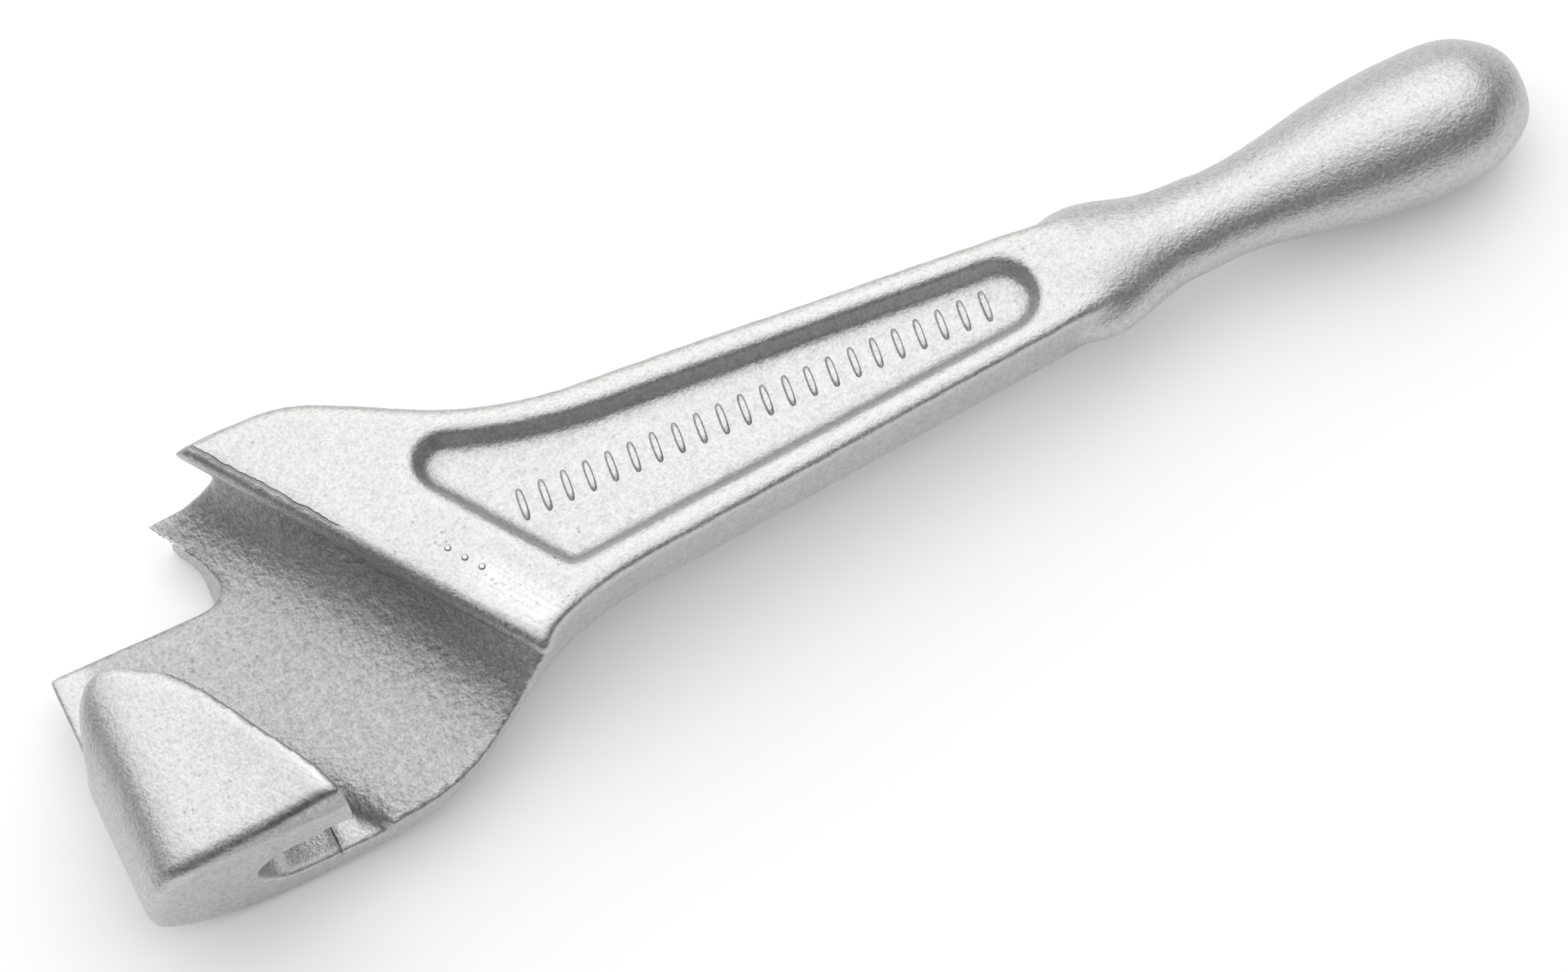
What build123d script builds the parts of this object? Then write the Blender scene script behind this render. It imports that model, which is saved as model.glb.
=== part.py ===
from build123d import *
import math
import os

os.makedirs("parts", exist_ok=True)

# One-piece cast aluminium valve-wheel wrench. Millimetres.
# Frame: +X runs along the handle away from the jaw, +Y to the tool's left, +Z out of the pocketed face.
# The origin is on the handle axis, in the middle of the jaw, where the centre of a held rim sits.

# Jaw
mouth_width = 52.0
jaw_slant = 35.0
lip_nose_radius = 4.4
lip_nose_height = 6.8
floor_z = -21.5
casting_step = 0.8
reach = 80.0  # longer than the head is wide, so that a cutter passes right through

# Hook
hook_front_x = -51.2
hook_front_z = -12.0
tongue_root_z = 14.2
tongue_tip_z = 21.0
throat_roof_z = -1.5
throat_back_z = -13.0
flank_y = 45.0

# Web, shank and head
web_thickness = 22.4
shank_end_x = 213.0
shank_end_half_width = 12.8
shank_root_x = 90.0
shank_root_half_width = 23.3
head_half_width = 48.4
head_left_x = -9.5
edge_round = 2.2
flank_round = 3.0

# Grip, neck and collar
grip_end_x = 328.0
bulb_x = 303.0
bulb_radius = 17.9
neck_x = 246.0
neck_radius = 11.1

# Pocket in each face of the shank
pocket_depth = 5.0
pocket_draft = 30.0
pocket_end_x = 199.0
pocket_turn_x = 189.6
pocket_end_half_width = 9.5
pocket_corner_radius = 4.0
pocket_floor_round = 1.6
back_pocket_x = 86.0
back_pocket_half_width = 17.1
back_pocket_corner_radius = 8.0

half_web = web_thickness / 2
lip_w = mouth_width / 2
nose_w = lip_w + lip_nose_radius
slant = math.radians(jaw_slant)

# Across the jaw: local x runs from the tongue to the lip, local y is +Z
jaw_plane = Plane(
    origin=(0, 0, 0),
    x_dir=(math.cos(slant), math.sin(slant), 0),
    z_dir=(math.sin(slant), -math.cos(slant), 0),
)

# Plan outline of the head's flare, right side and left side
flare_turn = (32.6, -44.8)
shank_root = (shank_root_x, -shank_root_half_width)
right_flare = [(12, -head_half_width), flare_turn, (44.6, -38.6), (56.5, -32.2), shank_root]
left_flare = [(x, -y) for x, y in reversed(right_flare)]
flare_turn_slope = 0.35
flare_root_slope = (shank_root_half_width - shank_end_half_width) / (shank_end_x - shank_root_x)

# Plan outline of the tongue's crowned edge, from its rounded left end to its tip
tongue_end = (-37.5, 5.8)
tongue_tip = (1.2, -49.0)
tongue_crown = [(-31.5, 2.6), (-25.0, -2.2), (-19.5, -8.8), (-10.9, -24.2), (-3.8, -37.4)]

# Everything in front of the tongue's edge and below it
with BuildPart() as tongue_plan:
    with BuildSketch(Plane.XY.offset(-reach)):
        with BuildLine():
            Spline(tongue_end, *tongue_crown, tongue_tip)
            Polyline(tongue_tip, (tongue_tip[0], -reach), (-reach, -reach), (-reach, 20))
            Polyline((-reach, 20), (-46, 20), tongue_end)
        make_face()
    extrude(amount=2 * reach)

# Everything behind the tongue's edge that stands above the web's middle
with BuildPart() as head_clearance:
    with BuildSketch(Plane.XY):
        Rectangle(2 * reach, 2 * reach)
    extrude(amount=reach)
    add(tongue_plan.part, mode=Mode.SUBTRACT)

# The hook as a filled block: its side outline, carried across the head
with BuildPart() as hook_block:
    with BuildSketch(Plane.XZ):
        with BuildLine():
            Spline(
                (66, -half_web), (44, -18.2), (24, -26.8), (-16, -35.8), (-37, -31.8), (-48.6, -23),
                (hook_front_x, hook_front_z),
                tangents=((-1, -0.1), (0, 1)),
            )
            Spline(
                (hook_front_x, hook_front_z), (-46.5, 8), (-36, tongue_root_z),
                tangents=((0, 1), (1, 0.12)),
            )
            Spline((-36, tongue_root_z), (-20, 15.8), (-2, tongue_tip_z), tangents=((1, 0.12), (1, 0.4)))
            Polyline((-2, tongue_tip_z), (66, tongue_tip_z), (66, -half_web))
        make_face()
    extrude(amount=reach, both=True)
    with BuildSketch(Plane.XY.offset(-reach)):
        with BuildLine():
            Spline(*right_flare, tangents=((1, 0), (1, flare_root_slope)))
            Line(right_flare[-1], left_flare[0])
            Spline(*left_flare, tangents=((-1, flare_root_slope), (-1, 0)))
            Polyline(left_flare[-1], (-reach, head_half_width), (-reach, -head_half_width), right_flare[0])
        make_face()
    extrude(amount=2 * reach, mode=Mode.INTERSECT)
    side_edges = hook_block.edges().filter_by(lambda e: abs(e.center().Y) > 38 and e.center().X < 50)
    fillet(side_edges.filter_by(lambda e: e.center().Z < -10), radius=flank_round)
    add(head_clearance.part, mode=Mode.SUBTRACT)

# Section of the lip's underside and the trough, at the left end and at the right end of the jaw
nose_bottom = (nose_w, lip_nose_height - lip_nose_radius)
trough_end_w = -50.0
left_trough = [
    nose_bottom, (29.2, -6), (26, -12), (20.5, -17.3), (10, -21.2), (-5, floor_z), (-31, floor_z),
    (trough_end_w, floor_z),
]
right_trough = [
    nose_bottom, (27.8, 0.5), (21, -5.2), (14.4, -9.7), (1, -13.7), (-18, -16.8), (-31, floor_z),
    (trough_end_w, floor_z),
]
jaw_stations = [(-64.0, 0.0), (0.0, 0.25), (66.0, 1.0)]  # distance along the lip, share of the right section

# The open mouth between tongue and lip, above the trough
with BuildPart() as mouth:
    for station, share in jaw_stations:
        pairs = zip(left_trough, right_trough)
        blend = [(a + share * (c - a), b + share * (d - b)) for (a, b), (c, d) in pairs]
        with BuildSketch(jaw_plane.offset(station)):
            with BuildLine():
                Polyline(blend[-1], (trough_end_w, 50), (110, 50), (110, half_web), (nose_w, half_web))
                ThreePointArc((nose_w, half_web), (lip_w, lip_nose_height), nose_bottom)
                Spline(*blend, tangents=((-0.1, -1), (-1, 0)))
            make_face()
    loft(ruled=True)
    add(tongue_plan.part, mode=Mode.SUBTRACT)

# The hollow under the tongue, closed in front by the bight; its floor lies a casting step lower
with BuildPart() as throat:
    with BuildSketch(Plane.XZ):
        with BuildLine():
            Polyline((-19, -4.6), (-5, throat_roof_z), (12, throat_roof_z), (12, floor_z), (-3.7, floor_z))
            Polyline((-3.7, floor_z), (-3.7, floor_z - casting_step), (-16, floor_z - casting_step))
            ThreePointArc((-16, floor_z - casting_step), (-23.6, throat_back_z), (-19, -4.6))
        make_face()
    extrude(amount=reach)
    with BuildSketch(jaw_plane):
        Polygon((-lip_w + 6, -60), (-100, -60), (-100, 60), (-lip_w + 6, 60), align=None)
    extrude(amount=2 * reach, both=True, mode=Mode.INTERSECT)

# The floor ledge left of the tongue and in front of its rounded left end
with BuildPart() as ledge:
    with BuildSketch(Plane.XY.offset(floor_z)):
        Polygon(
            (-70, 60), (-70, -12), (-50.5, -12), (-46.5, 0), (-43, 4.5), tongue_end, (tongue_end[0], 60),
            align=None,
        )
    extrude(amount=reach)

# The notch that steps the left side in, its walls drafted
with BuildPart() as side_notch:
    with BuildSketch(Plane.XY.offset(floor_z + 2)):
        with BuildLine():
            Polyline((-6.6, 60), (-reach, 60), (-reach, 19), (-8.5, 19))
            RadiusArc((-8.5, 19), (-2.5, 25), -6.3)
            Polyline((-2.5, 25), (-2.5, 32), (-6.6, 43.5), (-6.6, 60))
        make_face()
    extrude(amount=-20, taper=11)

# The hook's left flank leans in below the lip
with BuildPart() as left_flank:
    with BuildSketch(Plane.YZ.offset(-reach)):
        Polygon((60, -1), (flank_y, -3), (flank_y - 0.7, floor_z), (flank_y - 4, -45), (60, -45), align=None)
    extrude(amount=2 * reach)

# Corners of the pocket's outline
pocket_end = (pocket_end_x, 0)
pocket_end_left = (pocket_turn_x, pocket_end_half_width)
pocket_end_right = (pocket_turn_x, -pocket_end_half_width)
pocket_right_corner = (70.7, -18.2)
pocket_left_bend = (95, 16.5)

# The drafted pocket, one in each face
with BuildPart() as pockets:
    with BuildSketch(Plane.XY.offset(half_web)) as pocket_outline:
        with BuildLine():
            ThreePointArc(pocket_end_left, pocket_end, pocket_end_right)
            Polyline(pocket_end_right, pocket_right_corner, (48.3, 13.9))
            ThreePointArc((48.3, 13.9), (47.6, 21.4), (57.1, 25.2))
            TangentArc(pocket_left_bend, (57.1, 25.2), tangent=(-1, 0.073))
            Line(pocket_left_bend, pocket_end_left)
        make_face()
        right_vertex = pocket_outline.vertices().sort_by_distance(pocket_right_corner)[0]
        fillet(right_vertex, radius=pocket_corner_radius)
    extrude(amount=-pocket_depth, taper=pocket_draft)
    with BuildSketch(Plane.XY.offset(-half_web)) as back_outline:
        with BuildLine():
            Line(pocket_end_right, (back_pocket_x, -back_pocket_half_width))
            Line((back_pocket_x, -back_pocket_half_width), (back_pocket_x, back_pocket_half_width))
            Line((back_pocket_x, back_pocket_half_width), pocket_end_left)
            ThreePointArc(pocket_end_left, pocket_end, pocket_end_right)
        make_face()
        fillet(back_outline.vertices().group_by(Axis.X)[0], radius=back_pocket_corner_radius)
    extrude(amount=pocket_depth, taper=pocket_draft)
    floor_edges = pockets.edges().filter_by(lambda e: abs(abs(e.center().Z) - half_web + pocket_depth) < 0.01)
    fillet(floor_edges, radius=pocket_floor_round)

with BuildPart() as wrench_casting:
    # Shank and head web, its long edges rounded
    with BuildSketch(Plane.XY.offset(-half_web)):
        with BuildLine():
            Line((shank_end_x, shank_end_half_width), left_flare[0])
            Spline(*left_flare, tangents=((-1, flare_root_slope), (-1, 0)))
            Polyline(left_flare[-1], (head_left_x, head_half_width), flare_turn)
            Spline(*right_flare[1:], tangents=((1, flare_turn_slope), (1, flare_root_slope)))
            Line(right_flare[-1], (shank_end_x, -shank_end_half_width))
            Line((shank_end_x, -shank_end_half_width), (shank_end_x, shank_end_half_width))
        make_face()
    extrude(amount=web_thickness)
    web_edges = wrench_casting.edges().filter_by(Plane.XY)
    fillet(web_edges.filter_by(lambda e: abs(e.tangent_at(0.5).X) > 0.8), radius=edge_round)

    add(hook_block.part)
    add(mouth.part, mode=Mode.SUBTRACT)
    add(throat.part, mode=Mode.SUBTRACT)
    add(ledge.part, mode=Mode.SUBTRACT)
    add(side_notch.part, mode=Mode.SUBTRACT)
    add(left_flank.part, mode=Mode.SUBTRACT)

    # Grip: a file-handle bulb on a slim neck
    with BuildSketch(Plane.XZ):
        with BuildLine():
            Spline((neck_x, neck_radius), (272, 14.7), (bulb_x, bulb_radius), tangents=((1, 0), (1, 0)))
            Spline(
                (bulb_x, bulb_radius), (316, 16.3), (323, 12.2), (grip_end_x, 0),
                tangents=((1, 0), (0, -1)),
            )
            Polyline((grip_end_x, 0), (neck_x, 0), (neck_x, neck_radius))
        make_face()
    revolve(axis=Axis.X)

    # Collar: the neck swells to a bulge that is wider than it is high
    with BuildSketch(Plane.YZ.offset(neck_x)):
        Circle(neck_radius)
    with BuildSketch(Plane.YZ.offset(236)):
        Ellipse(11.7, 11.3)
    with BuildSketch(Plane.YZ.offset(226)):
        Ellipse(13.9, 11.9)
    with BuildSketch(Plane.YZ.offset(215)):
        Ellipse(17.0, 12.5)
    with BuildSketch(Plane.YZ.offset(205)):
        Ellipse(15.4, 11.5)
    with BuildSketch(Plane.YZ.offset(195)):
        Ellipse(12.6, 9.8)
    loft()

    add(pockets.part, mode=Mode.SUBTRACT)

wrench_casting.part.label = "wrench_casting"
export_step(wrench_casting.part, "parts/wrench_casting.step")
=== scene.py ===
import bmesh
import bpy
import math
import numpy as np
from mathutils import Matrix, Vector


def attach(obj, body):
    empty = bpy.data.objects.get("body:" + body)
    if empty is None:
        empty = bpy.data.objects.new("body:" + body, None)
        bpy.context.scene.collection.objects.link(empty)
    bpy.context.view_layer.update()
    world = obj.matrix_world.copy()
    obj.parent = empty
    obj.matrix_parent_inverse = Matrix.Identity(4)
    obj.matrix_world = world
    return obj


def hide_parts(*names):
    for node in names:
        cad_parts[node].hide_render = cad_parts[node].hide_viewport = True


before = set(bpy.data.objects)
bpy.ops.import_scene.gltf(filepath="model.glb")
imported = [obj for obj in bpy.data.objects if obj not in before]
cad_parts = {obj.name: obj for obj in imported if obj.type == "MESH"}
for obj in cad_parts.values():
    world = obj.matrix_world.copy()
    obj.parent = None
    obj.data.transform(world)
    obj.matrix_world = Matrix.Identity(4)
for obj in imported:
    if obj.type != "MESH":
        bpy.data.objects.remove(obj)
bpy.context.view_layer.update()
mm = 0.001
root = "root"


# shader wiring

class Feed:
    def __init__(self, tree, socket=None):
        self.tree = tree
        self.socket = socket

    def node(self, kind, settings=None, feeds=None, out=0):  # feeds: each socket's value or link
        made = self.tree.nodes.new(kind)
        for name, value in (settings or {}).items():
            setattr(made, name, value)
        for name, value in (feeds or {}).items():
            if isinstance(value, Feed):
                self.tree.links.new(value.socket, made.inputs[name])
            else:
                made.inputs[name].default_value = value
        return Feed(self.tree, made.outputs[out])

    def output(self, name):  # another output of the same node
        return Feed(self.tree, self.socket.node.outputs[name])

    def maths(self, operation, first, second):
        return self.node("ShaderNodeMath", {"operation": operation}, {0: first, 1: second})

    def __add__(self, other):
        return self.maths("ADD", self, other)

    def __radd__(self, other):
        return self.maths("ADD", other, self)

    def __sub__(self, other):
        return self.maths("SUBTRACT", self, other)

    def __rsub__(self, other):
        return self.maths("SUBTRACT", other, self)

    def __mul__(self, other):
        return self.maths("MULTIPLY", self, other)

    def __rmul__(self, other):
        return self.maths("MULTIPLY", other, self)


def newMaterial(name):
    material = bpy.data.materials.new(name)
    material.use_nodes = True
    return material, material.node_tree.nodes["Principled BSDF"]


# numpy helpers

hashing = {
    "corner": (73856093, 19349663, 83492791),
    "seed": 2654435761,
    "stir": 1274126177,
    "keep": 0x7FFFFFFF,
}


def latticeNoise(points, cell, seed):
    # value noise from -1 to 1: a hashed number at each corner of a cubic lattice, blended with a smooth fade
    grid = points / cell
    corner = np.floor(grid).astype(np.int64)
    step = grid - corner
    fade = step * step * (3 - 2 * step)
    total = np.zeros(len(points))
    for dx in (0, 1):
        for dy in (0, 1):
            for dz in (0, 1):
                key = (corner[:, 0] + dx) * hashing["corner"][0]
                key ^= (corner[:, 1] + dy) * hashing["corner"][1]
                key ^= (corner[:, 2] + dz) * hashing["corner"][2]
                key = (key + seed * hashing["seed"]) & hashing["keep"]
                key = (key ^ (key >> 13)) * hashing["stir"] & hashing["keep"]
                value = (key ^ (key >> 16)) % 65536 / 32767.5 - 1
                weight = np.where(dx, fade[:, 0], 1 - fade[:, 0])
                weight = weight * np.where(dy, fade[:, 1], 1 - fade[:, 1])
                weight = weight * np.where(dz, fade[:, 2], 1 - fade[:, 2])
                total += weight * value
    return total


def smoothStep(low, high, values):
    part = np.clip((values - low) / (high - low), 0, 1)
    return part * part * (3 - 2 * part)


def linked(name, data):
    made = bpy.data.objects.new(name, data)
    bpy.context.scene.collection.objects.link(made)
    return made


def smoothShaded(mesh):
    mesh.polygons.foreach_set("use_smooth", np.ones(len(mesh.polygons), bool))


def meshPiece(name, points, faces):
    mesh = bpy.data.meshes.new(name)
    mesh.from_pydata(points.tolist(), [], faces)
    smoothShaded(mesh)
    mesh.update()
    return linked(name, mesh)


def finishPiece(piece, material):
    piece.data.materials.clear()
    piece.data.materials.append(material)
    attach(piece, root)


# casting

casting = {
    "voxel": 0.88 * mm,
    "mergeGap": 1e-6,
    "skinPasses": 7,  # rounds every edge as a sand mould does
    "tonguePasses": 18,
    "lipPasses": 12,
    "collarPasses": 26,
    "flankPasses": 34,
    "rightEdgePasses": 30,
    "troughPasses": 40,  # blends the trough's facets into one sweep
    "share": 0.5,
    "waviness": 0.16 * mm,
    "wavinessCell": 21 * mm,
    "wavinessSeed": 11,
    "skin": 0.045 * mm,
    "skinCell": 2.4 * mm,
    "skinSeed": 23,
    "troughGrain": 0.085 * mm,
    "troughCell": 1.8 * mm,
    "troughSeed": 37,
    "normalBlur": 3,
    "insideBlur": 10,
    "passBlur": 4,
    "bendBlur": 4,
    "maskBlur": 3,
    "hollowBend": 0.03 * mm,  # the inward bend that counts as fully hollow, where the colour is darkened most as painted shade
    "hornPlace": (56.8 * mm, -33.4 * mm, 7.0 * mm),
    "hornReach": 4.2 * mm,
    "hornPull": 2.0 * mm,
    "jawSlant": math.radians(35),
    "zoneLimits": {  # each zone fades in, or out, between two values
        "faceUp": (0.15, 0.4),
        "troughFront": (-24 * mm, -20 * mm),
        "troughTop": (1 * mm, 4 * mm),
        "troughBack": (31 * mm, 33 * mm),
        "troughInside": (0.80, 0.99),
        "tongueHeight": (4 * mm, 9 * mm),
        "tongueBack": (-18 * mm, -14 * mm),
        "lipHeight": (-2 * mm, 2 * mm),
        "lipFront": (22 * mm, 24 * mm),
        "lipBack": (31 * mm, 35 * mm),
        "rightSide": (-43 * mm, -38 * mm),
        "rightHeight": (10 * mm, 13 * mm),
        "flankSide": (26 * mm, 32 * mm),
        "flankTop": (-6 * mm, -1 * mm),
        "flankFront": (-8 * mm, -4 * mm),
        "flankBack": (20 * mm, 30 * mm),
        "collarFront": (198 * mm, 212 * mm),
        "collarBack": (232 * mm, 244 * mm),
    },
    "zoneEnds": {"troughFloor": -24.5 * mm, "tongueX": 20 * mm, "lipX": 70 * mm},
}
slantCos, slantSin = math.cos(casting["jawSlant"]), math.sin(casting["jawSlant"])


def jawAcross(points):  # distance from the middle of the jaw, towards the lip
    return points[:, 0] * slantCos + points[:, 1] * slantSin


def remeshedCopy(node, name):
    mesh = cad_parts[node].data.copy()
    loose = bmesh.new()
    loose.from_mesh(mesh)
    bmesh.ops.remove_doubles(loose, verts=loose.verts, dist=casting["mergeGap"])
    loose.to_mesh(mesh)
    loose.free()
    piece = linked(name, mesh)
    remesh = piece.modifiers.new("even", "REMESH")
    remesh.mode = "VOXEL"
    remesh.voxel_size = casting["voxel"]
    graph = bpy.context.evaluated_depsgraph_get()
    even = bpy.data.meshes.new_from_object(piece.evaluated_get(graph))
    piece.modifiers.clear()
    piece.data = even
    bpy.data.meshes.remove(mesh)
    return piece


def meshArray(source, name, width, kind):
    flat = np.empty(len(source) * width, kind)
    source.foreach_get(name, flat)
    return flat.reshape(-1, width)


def neighbourMean(values, edges):
    # each vertex's mean over the vertices joined to it by an edge
    degree = np.bincount(edges.ravel(), minlength=len(values))
    mean = np.empty_like(values)
    for axis in range(values.shape[1]):
        mean[:, axis] = np.bincount(edges[:, 0], values[edges[:, 1], axis], len(values))
        mean[:, axis] += np.bincount(edges[:, 1], values[edges[:, 0], axis], len(values))
    return mean / degree[:, None]


def spread(values, edges, passes):
    for _ in range(passes):
        values = neighbourMean(values, edges)
    return values


def rise(name, values):
    return smoothStep(*casting["zoneLimits"][name], values)


def castingZones(points, normals, edges):
    ends = casting["zoneEnds"]
    across = jawAcross(points)
    x, y, z = points[:, 0], points[:, 1], points[:, 2]
    trough = rise("faceUp", normals[:, 2]) * rise("troughFront", across) * (1 - rise("troughTop", z))
    trough *= 1 - rise("troughBack", across)
    trough = np.where(z < ends["troughFloor"], 0, trough)
    inside = rise("troughInside", spread(trough[:, None], edges, casting["insideBlur"])[:, 0])
    tongue = rise("tongueHeight", z) * (1 - rise("tongueBack", across)) * (x < ends["tongueX"])
    lip = rise("lipHeight", z) * rise("lipFront", across) * (1 - rise("lipBack", across))
    lip *= x < ends["lipX"]
    rightEdge = tongue * (1 - rise("rightSide", y)) * rise("rightHeight", z)
    flank = rise("flankSide", y) * (1 - rise("flankTop", z)) * rise("flankFront", x)
    flank *= 1 - rise("flankBack", x)
    collar = rise("collarFront", x) * (1 - rise("collarBack", x))
    return {
        "trough": trough, "inside": inside, "tongue": tongue, "rightEdge": rightEdge,
        "lip": lip, "flank": flank, "collar": collar,
    }


def soften(points, edges, passes):
    # a vertex with n passes moves n times part of the way to its neighbours' mean
    for turn in range(int(np.ceil(passes.max()))):
        share = casting["share"] * np.clip(passes - turn, 0, 1)
        live = share > 0
        step = neighbourMean(points, edges) - points
        points = points + np.where(live, share, 0)[:, None] * step
    return points


def pullHorn(points):
    # the lip's right end runs out into a small horn: a bell-shaped pull along the lip
    near = ((points - np.array(casting["hornPlace"])) ** 2).sum(1)
    pull = casting["hornPull"] * np.exp(-near / casting["hornReach"] ** 2)
    return points + pull[:, None] * np.array([slantSin, -slantCos, 0.0])


def setPoints(mesh, points):
    mesh.vertices.foreach_set("co", points.astype(np.float32).ravel())
    mesh.update()


def storeMask(mesh, name, values):
    layer = mesh.attributes.new(name, "FLOAT", "POINT")
    layer.data.foreach_set("value", values.astype(np.float32))


def makeCasting():
    piece = remeshedCopy("wrench_casting", "castingSkin")
    mesh = piece.data
    edges = meshArray(mesh.edges, "vertices", 2, np.int32)
    points = meshArray(mesh.vertices, "co", 3, np.float32).astype(float)
    normals = meshArray(mesh.vertices, "normal", 3, np.float32).astype(float)
    zones = castingZones(points, spread(normals, edges, casting["normalBlur"]), edges)
    passes = casting["skinPasses"] + zones["tongue"] * casting["tonguePasses"]
    passes += zones["lip"] * casting["lipPasses"]
    passes += zones["collar"] * casting["collarPasses"] + zones["inside"] * casting["troughPasses"]
    passes += zones["flank"] * casting["flankPasses"] + zones["rightEdge"] * casting["rightEdgePasses"]
    passes = spread(passes[:, None], edges, casting["passBlur"])[:, 0]
    points = pullHorn(soften(points, edges, passes))
    setPoints(mesh, points)
    normals = meshArray(mesh.vertices, "normal", 3, np.float32).astype(float)
    swell = casting["waviness"] * latticeNoise(points, casting["wavinessCell"], casting["wavinessSeed"])
    swell += casting["skin"] * latticeNoise(points, casting["skinCell"], casting["skinSeed"])
    grain = latticeNoise(points, casting["troughCell"], casting["troughSeed"])
    swell += zones["trough"] * casting["troughGrain"] * grain
    points = points + normals * swell[:, None]
    setPoints(mesh, points)
    inward = ((neighbourMean(points, edges) - points) * normals).sum(1)
    bend = spread(inward[:, None], edges, casting["bendBlur"])[:, 0]
    # the trough mask roughens and grains the trough, and darkens its colour as painted shade for how it
    # faces the light
    storeMask(mesh, "trough", spread(zones["trough"][:, None], edges, casting["maskBlur"])[:, 0])
    # the hollow mask darkens concave bends in the colour: painted shade in hollows
    storeMask(mesh, "hollow", np.clip(bend / casting["hollowBend"], -1, 1))
    smoothShaded(mesh)
    return piece


# raised ribs in the pocket and pips by the lip

ribs = {
    "count": 22,
    "firstX": 67.0 * mm,
    "lastX": 186.0 * mm,
    "firstY": 2.2 * mm,
    "lastY": 0.6 * mm,
    "halfWide": 1.15 * mm,
    "halfTall": 4.7 * mm,
    "lean": 0.10,
    "floorZ": 6.2 * mm,
    "height": 0.85 * mm,
    "corner": 3.0,  # the outline's power: 2 is round, more is squarer
}
pips = {
    "count": 3,
    "middle": (48.9 * mm, -5.6 * mm),
    "pitch": 4.6 * mm,
    "halfWide": 1.1 * mm,
    "faceZ": 11.2 * mm,
    "height": 0.45 * mm,
    "corner": 2.0,
}
pad = {"rings": 8, "sides": 28, "sink": 0.7 * mm, "shoulder": 0.45, "drop": 2.2}


def raisedPad(centre, halfWide, halfTall, height, corner, lean):
    # a polar grid whose outline is |x/a|^p + |y/b|^p = 1: flat on top, then falling past its shoulder
    turn = np.linspace(0, 2 * math.pi, pad["sides"], endpoint=False)
    outline = (np.abs(np.cos(turn)) ** corner + np.abs(np.sin(turn)) ** corner) ** (-1 / corner)
    outwards = np.linspace(0, 1, pad["rings"])[1:]
    fall = np.clip((outwards - pad["shoulder"]) / (1 - pad["shoulder"]), 0, 1) ** pad["drop"]
    radius = outwards[:, None] * outline[None, :]
    y = halfTall * radius * np.sin(turn)[None, :]
    x = halfWide * radius * np.cos(turn)[None, :] + lean * y
    z = np.repeat((height - (height + pad["sink"]) * fall)[:, None], pad["sides"], 1)
    points = np.stack([x.ravel(), y.ravel(), z.ravel()], 1)
    points = np.vstack([points, [0, 0, height], [0, 0, -pad["sink"]]]) + np.array(centre)
    place = np.arange(pad["sides"])
    after = (place + 1) % pad["sides"]
    faces = []
    for ring in range(pad["rings"] - 2):
        low, high = ring * pad["sides"], (ring + 1) * pad["sides"]
        faces += np.stack([low + place, high + place, high + after, low + after], 1).tolist()
    last = (pad["rings"] - 2) * pad["sides"]
    faces += np.stack([np.full(pad["sides"], len(points) - 2), place, after], 1).tolist()
    faces += np.stack([np.full(pad["sides"], len(points) - 1), last + after, last + place], 1).tolist()
    return points, faces


def padPiece(name, pads):
    allPoints, allFaces, start = [], [], 0
    for points, faces in pads:
        allPoints.append(points)
        allFaces += [[start + corner for corner in face] for face in faces]
        start += len(points)
    return meshPiece(name, np.vstack(allPoints), allFaces)


def makeRibs():
    made = []
    for place in np.linspace(0, 1, ribs["count"]):
        x = ribs["firstX"] + place * (ribs["lastX"] - ribs["firstX"])
        y = ribs["firstY"] + place * (ribs["lastY"] - ribs["firstY"])
        centre = (x, y, ribs["floorZ"])
        shape = (ribs["halfWide"], ribs["halfTall"], ribs["height"], ribs["corner"], ribs["lean"])
        made.append(raisedPad(centre, *shape))
    return padPiece("pocketRibs", made)


def makePips():
    made = []
    for place in range(pips["count"]):
        along = (place - (pips["count"] - 1) / 2) * pips["pitch"]
        x, y = pips["middle"][0] + along * slantSin, pips["middle"][1] - along * slantCos
        centre = (x, y, pips["faceZ"])
        half = pips["halfWide"]
        made.append(raisedPad(centre, half, half, pips["height"], pips["corner"], 0.0))
    return padPiece("facePips", made)


# cast aluminium

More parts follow.
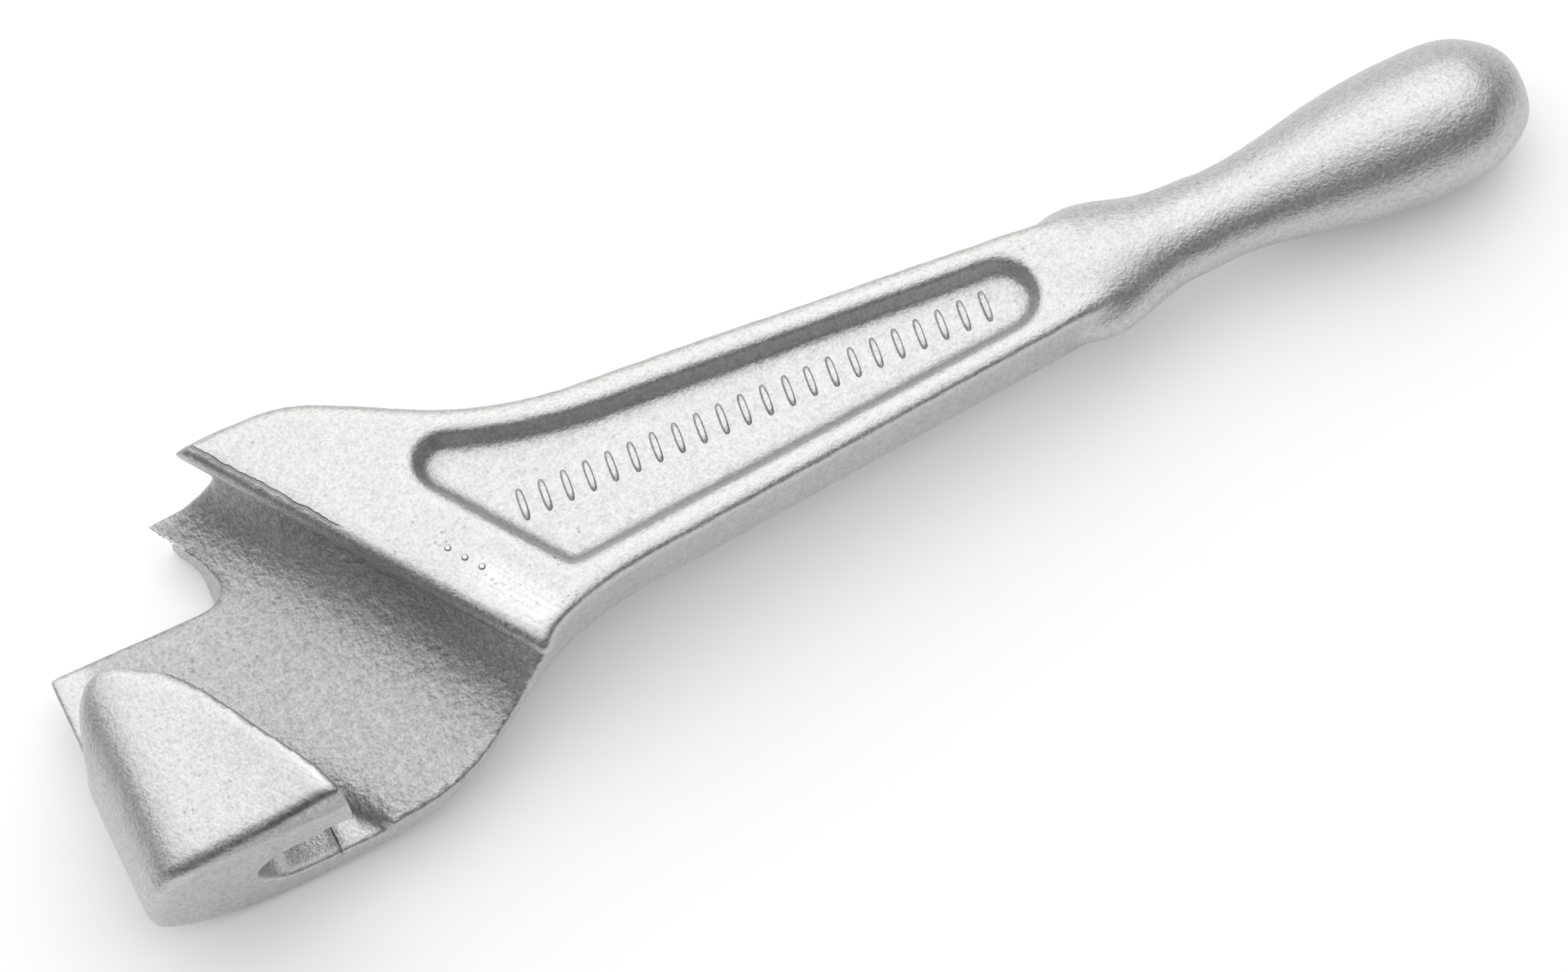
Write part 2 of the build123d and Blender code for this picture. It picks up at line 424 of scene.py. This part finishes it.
metal = {
    "colour": (0.61, 0.61, 0.605, 1),
    # the darker end of the colour mix, used for random tone and for painted shade
    "dullAndShade": (0.30, 0.30, 0.30, 1),
    "roughness": 0.40,
    "grainScale": 1250,
    "grainHeight": 0.16 * mm,
    "coarseScale": 560,
    "coarseHeight": 0.34 * mm,
    "cloudScale": 45.0,
    "pitScale": 430,
    "pitEdge": (0.05, 0.24),
    "pitPatches": (0.55, 0.63),
    "lineWidth": 0.28 * mm,
    "wanderScale": 260.0,
    "wanderSpan": 1.6 * mm,
    "grinding": {"across": 1700, "along": 45, "up": 200},
    "marks": {  # (centre, half width, edge) across a band, and (from, to) for a fade
        "groundTongue": {
            "along": (30 * mm, 9 * mm, 6 * mm),
            "across": (-32 * mm, 6 * mm, 5 * mm),
            "height": (13 * mm, 15 * mm),
        },
        "groundLip": {
            "along": (50 * mm, 10 * mm, 8 * mm),
            "across": (34 * mm, 4 * mm, 4 * mm),
            "height": (9 * mm, 10.6 * mm),
        },
        "flash": {
            "across": 29.2 * mm,
            "height": (9.6 * mm, 10.4 * mm),
            "along": (-18 * mm, 18 * mm, 5 * mm),
        },
        "seam": {
            "x": -3.7 * mm,
            "y": (-42.5 * mm, 6.5 * mm, 0.8 * mm),
            "z": (-21.8 * mm, 1.2 * mm, 0.5 * mm),
        },
        # a darker band along the lip's rounded bead: painted shade
        "beadShade": {
            "across": (27.4 * mm, 1.3 * mm, 0.9 * mm),
            "height": (7.5 * mm, 9.5 * mm),
            "x": (-30 * mm, -20 * mm),
        },
        # a darker band on the tongue's rounded right top edge: painted shade
        "tongueEdgeShade": {
            "y": (-47.2 * mm, 1.7 * mm, 1.2 * mm),
            "height": (9 * mm, 12 * mm),
            "x": (4 * mm, 9 * mm),
        },
    },
    "roughShare": {"cloud": 0.16, "fine": 0.18, "trough": 0.03, "ground": 0.08},
    # shares of the darker tone: those for hollows, the trough, the lip's bead and the tongue's right edge
    # are painted shade; the rest are random tone and real marks
    "dullAndShadeShare": {
        "base": 0.22, "hollow": 0.10, "fine": 1.6, "coarse": 0.6, "cloud": 0.25, "trough": 0.45,
        "pit": 0.5, "beadShade": 0.45, "tongueEdgeShade": 0.5, "line": 0.8, "grinding": 0.9,
    },
    "relief": {
        "groundLoss": 0.7, "coarseBase": 0.35, "coarseTrough": 0.65,
        "grinding": 0.05 * mm, "pit": 0.06 * mm, "line": 0.3 * mm,
    },
}


def sandCastAluminium():
    material, shader = newMaterial("sandCastAluminium")
    feed = Feed(material.node_tree)
    marks, relief = metal["marks"], metal["relief"]
    roughShare, dullAndShadeShare = metal["roughShare"], metal["dullAndShadeShare"]
    place = feed.node("ShaderNodeTexCoord", out="Object")
    parts = feed.node("ShaderNodeSeparateXYZ", {}, {"Vector": place})
    x, y, z = (parts.output(axis) for axis in "XYZ")
    across, along = x * slantCos + y * slantSin, x * slantSin - y * slantCos

    def noise(vector, scale, detail, rough=0.5):
        feeds = {"Vector": vector, "Scale": scale, "Detail": detail, "Roughness": rough}
        return feed.node("ShaderNodeTexNoise", {}, feeds)

    def ramp(value, low, high):  # 0 below low, 1 above high
        return feed.node(
            "ShaderNodeMapRange", {"interpolation_type": "SMOOTHSTEP"},
            {"Value": value, "From Min": low, "From Max": high, "To Min": 0.0, "To Max": 1.0},
        )

    def near(value, centre, half, edge):  # 1 within half of centre, fading over edge
        away = feed.node("ShaderNodeMath", {"operation": "ABSOLUTE"}, {0: value - centre})
        return 1 - ramp(away, half, half + edge)

    def groundPatch(patch):
        return near(along, *patch["along"]) * near(across, *patch["across"]) * ramp(z, *patch["height"])

    fine = noise(place, metal["grainScale"], 3.0, 0.6)
    coarse = noise(place, metal["coarseScale"], 2.0)
    cloud = noise(place, metal["cloudScale"], 3.0)
    cells = {"Vector": place, "Scale": metal["pitScale"]}
    pits = feed.node("ShaderNodeTexVoronoi", {"feature": "F1"}, cells, out="Distance")
    pit = (1 - ramp(pits, *metal["pitEdge"])) * ramp(cloud, *metal["pitPatches"])
    trough = feed.node("ShaderNodeAttribute", {"attribute_name": "trough"}, {}, out="Fac")
    # hollow mask: painted shade in concave bends
    hollow = feed.node("ShaderNodeAttribute", {"attribute_name": "hollow"}, {}, out="Fac")

    strokes = metal["grinding"]
    lined = feed.node(
        "ShaderNodeCombineXYZ", {},
        {"X": across * strokes["across"], "Y": along * strokes["along"], "Z": z * strokes["up"]},
    )
    grinding = noise(lined, 1.0, 2.0)
    ground = groundPatch(marks["groundTongue"]) + groundPatch(marks["groundLip"])

    width = metal["lineWidth"]
    wander = (noise(place, metal["wanderScale"], 2.0) - 0.5) * metal["wanderSpan"]
    mark = marks["flash"]
    flash = near(across + wander, mark["across"], width * 0.5, width) * ramp(z, *mark["height"])
    flash = flash * near(along, *mark["along"])
    mark = marks["seam"]
    seam = near(x + wander * 0.3, mark["x"], width * 0.4, width)
    seam = seam * near(z, *mark["z"]) * near(y, *mark["y"])
    line = flash + seam
    # painted shade along the lip's bead
    mark = marks["beadShade"]
    beadShade = near(across, *mark["across"]) * ramp(z, *mark["height"]) * ramp(x, *mark["x"])
    # painted shade along the tongue's right top edge
    mark = marks["tongueEdgeShade"]
    tongueEdgeShade = near(y, *mark["y"]) * ramp(z, *mark["height"]) * (1 - ramp(x, *mark["x"]))

    rough = metal["roughness"] + (cloud - 0.5) * roughShare["cloud"] + (fine - 0.5) * roughShare["fine"]
    rough = rough + trough * roughShare["trough"] - ground * roughShare["ground"]
    feed.tree.links.new(rough.socket, shader.inputs["Roughness"])
    # fine, coarse and cloud give random tone from the grain; the trough's share darkens the whole trough as
    # painted shade
    speckAndTroughShade = (0.5 - fine) * dullAndShadeShare["fine"] + (0.5 - coarse) * dullAndShadeShare["coarse"]
    speckAndTroughShade = speckAndTroughShade + (0.5 - cloud) * dullAndShadeShare["cloud"] + trough * dullAndShadeShare["trough"]
    # pits, the parting lines and grinding are real marks; the bead and tongue-edge bands are painted shade
    marksAndEdgeShade = pit * dullAndShadeShare["pit"] + beadShade * dullAndShadeShare["beadShade"] + tongueEdgeShade * dullAndShadeShare["tongueEdgeShade"]
    marksAndEdgeShade = marksAndEdgeShade + line * dullAndShadeShare["line"] + (0.5 - grinding) * ground * dullAndShadeShare["grinding"]
    shade = feed.node(
        "ShaderNodeMath", {"operation": "ADD", "use_clamp": True},
        {0: dullAndShadeShare["base"] + hollow * dullAndShadeShare["hollow"] + speckAndTroughShade, 1: marksAndEdgeShade},
    )
    # the colour runs from the metal colour to the darker tone by shade, which sums random tone, real marks
    # and painted shade
    tones = {"Factor": shade, 6: metal["colour"], 7: metal["dullAndShade"]}
    colour = feed.node("ShaderNodeMix", {"data_type": "RGBA"}, tones, out=2)
    feed.tree.links.new(colour.socket, shader.inputs["Base Color"])
    shader.inputs["Metallic"].default_value = 1.0
    grain = 1 - ground * relief["groundLoss"]
    lumps = coarse * (relief["coarseBase"] + trough * relief["coarseTrough"])
    height = fine * metal["grainHeight"] * grain + lumps * metal["coarseHeight"] * grain
    height = height + grinding * ground * relief["grinding"] - pit * relief["pit"] - line * relief["line"]
    bump = feed.node("ShaderNodeBump", {}, {"Strength": 1.0, "Distance": 1.0, "Height": height})
    feed.tree.links.new(bump.socket, shader.inputs["Normal"])
    return material


# stage, light and camera

studio = {
    "floorSize": 14.0,
    "hookRest": (-0.016, -0.0358),  # where the hook and the bulb touch the floor, along x and z
    "bulbRest": (0.303, -0.0179),
    "floorGap": 0.0003,
    "floorShade": (0.90, 0.90, 0.90, 1),
    "floorRoughness": 0.9,
    "floorGlow": 0.12,
    "domeLean": 0.45,  # how far the bright dome leans towards +Y
    "domeLow": 0.28,
    "domeHigh": 0.90,
    "domeDark": 0.16,
    "domeBright": 1.42,
    "panelSize": 2.0,
    "panelPlace": (0.6, 1.0, 2.4),
    "panelAim": (0.13, 0, 0),
    "panelWatts": 6.0,
}


def makeFloor():
    (hookX, hookZ), (bulbX, bulbZ) = studio["hookRest"], studio["bulbRest"]
    slope = (bulbZ - hookZ) / (bulbX - hookX)
    half = studio["floorSize"] / 2
    corners = []
    for x, y in ((-half, -half), (half, -half), (half, half), (-half, half)):
        corners.append((x, y, hookZ - studio["floorGap"] + slope * (x - hookX)))
    floor = meshPiece("studioFloor", np.array(corners), [[0, 1, 2, 3]])
    material, shader = newMaterial("palePaper")
    shader.inputs["Base Color"].default_value = studio["floorShade"]
    shader.inputs["Roughness"].default_value = studio["floorRoughness"]
    shader.inputs["Specular IOR Level"].default_value = 0.0
    shader.inputs["Emission Color"].default_value = (1, 1, 1, 1)
    shader.inputs["Emission Strength"].default_value = studio["floorGlow"]
    floor.data.materials.append(material)


def addPanel(name):
    light = bpy.data.lights.new(name, "AREA")
    light.shape = "SQUARE"
    light.size = studio["panelSize"]
    light.energy = studio["panelWatts"]
    lamp = linked(name, light)
    place = Vector(studio["panelPlace"])
    lamp.location = place
    lamp.rotation_mode = "QUATERNION"
    lamp.rotation_quaternion = (Vector(studio["panelAim"]) - place).to_track_quat("-Z", "Y")


def makeLights():
    # the dome's strength follows height plus a share of y, through a smooth ramp from dark to bright
    world = bpy.data.worlds.new("studioRoom")
    world.use_nodes = True
    bpy.context.scene.world = world
    feed = Feed(world.node_tree)
    back = world.node_tree.nodes["Background"]
    back.inputs["Color"].default_value = (1, 1, 1, 1)
    look = feed.node("ShaderNodeTexCoord", out="Generated")
    parts = feed.node("ShaderNodeSeparateXYZ", {}, {"Vector": look})
    lean = parts.output("Z") + studio["domeLean"] * parts.output("Y")
    glow = feed.node(
        "ShaderNodeMapRange", {"interpolation_type": "SMOOTHSTEP"},
        {"Value": lean, "From Min": studio["domeLow"], "From Max": studio["domeHigh"],
         "To Min": studio["domeDark"], "To Max": studio["domeBright"]},
    )
    world.node_tree.links.new(glow.socket, back.inputs["Strength"])
    addPanel("overheadPanel")


cameraView = {
    "azimuth": math.radians(-25.4),
    "elevation": math.radians(70.0),
    "aim": (0.1263, -0.0146, -0.0095),
    "distance": 1.5,
    "viewWidth": 0.3694,  # width of the view at the aim point
    "sensor": 36.0,
    "clip": (0.05, 30),
}


def makeCamera():
    turn, rise = cameraView["azimuth"], cameraView["elevation"]
    back = Vector((math.sin(turn) * math.cos(rise), -math.cos(turn) * math.cos(rise), math.sin(rise)))
    lens = bpy.data.cameras.new("studioCamera")
    lens.sensor_width = cameraView["sensor"]
    lens.lens = cameraView["sensor"] * cameraView["distance"] / cameraView["viewWidth"]
    lens.clip_start, lens.clip_end = cameraView["clip"]
    camera = linked("studioCamera", lens)
    camera.location = Vector(cameraView["aim"]) + back * cameraView["distance"]
    camera.rotation_mode = "QUATERNION"
    camera.rotation_quaternion = (-back).to_track_quat("-Z", "Y")
    bpy.context.scene.camera = camera


aluminium = sandCastAluminium()
skin = makeCasting()
finishPiece(skin, aluminium)
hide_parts("wrench_casting")
print("casting", len(skin.data.vertices), "vertices")
finishPiece(makeRibs(), aluminium)
finishPiece(makePips(), aluminium)
print("raised marks")
makeFloor()
makeLights()
makeCamera()
print("stage, light and camera")
bpy.context.scene.view_settings.view_transform = "Standard"
